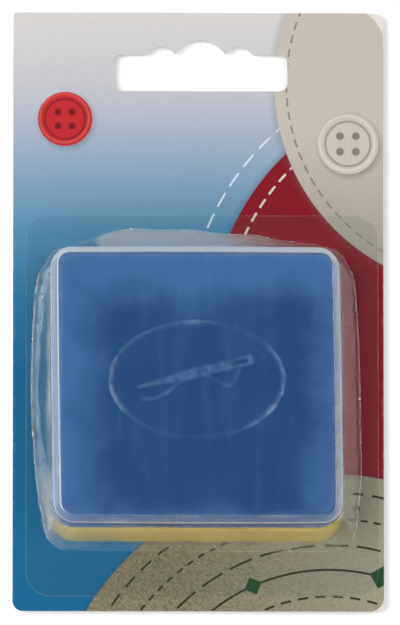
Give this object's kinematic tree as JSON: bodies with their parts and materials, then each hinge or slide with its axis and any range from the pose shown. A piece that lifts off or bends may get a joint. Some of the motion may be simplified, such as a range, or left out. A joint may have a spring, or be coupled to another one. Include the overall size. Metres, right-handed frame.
{
  "type": "tailors chalk",
  "caption": "Square plates of pressed tailor's chalk, blue over yellow, in a clear thermoformed blister on a printed card with a hang slot.",
  "frame": {"origin": "middle of the card's back face, which the pack lies on", "axes": "+Z out of the printed front, +Y up the card towards the hang slot, +X to the right as the front is read"},
  "size_m": [0.068, 0.1106, 0.0136],
  "materials": {
    "card": "printed and varnished",
    "clear_sheet": "clear gloss",
    "blue_chalk": "powdery matte",
    "yellow_chalk": "powdery matte"
  },
  "bodies": {
    "card": {"backing_card": "card"},
    "blister": {"clear_blister": "clear_sheet"},
    "upper_chalk": {"blue_chalk": "blue_chalk"},
    "lower_chalk": {"yellow_chalk": "yellow_chalk"}
  },
  "joints": [
    {"name": "blue_chalk_lift", "type": "slide", "parent": "card", "child": "upper_chalk", "axis": [0, 0, 1], "range_m": [0, 0.036]},
    {"name": "yellow_chalk_lift", "type": "slide", "parent": "card", "child": "lower_chalk", "axis": [0, 0, 1], "range_m": [0, 0.018]},
    {"name": "blister_lift", "type": "slide", "parent": "card", "child": "blister", "axis": [0, 0, 1], "range_m": [0, 0.0576]}
  ],
  "couplings": [
    {"joint": "yellow_chalk_lift", "follows": "blue_chalk_lift", "ratio": 0.5},
    {"joint": "blister_lift", "follows": "blue_chalk_lift", "ratio": 1.6}
  ]
}
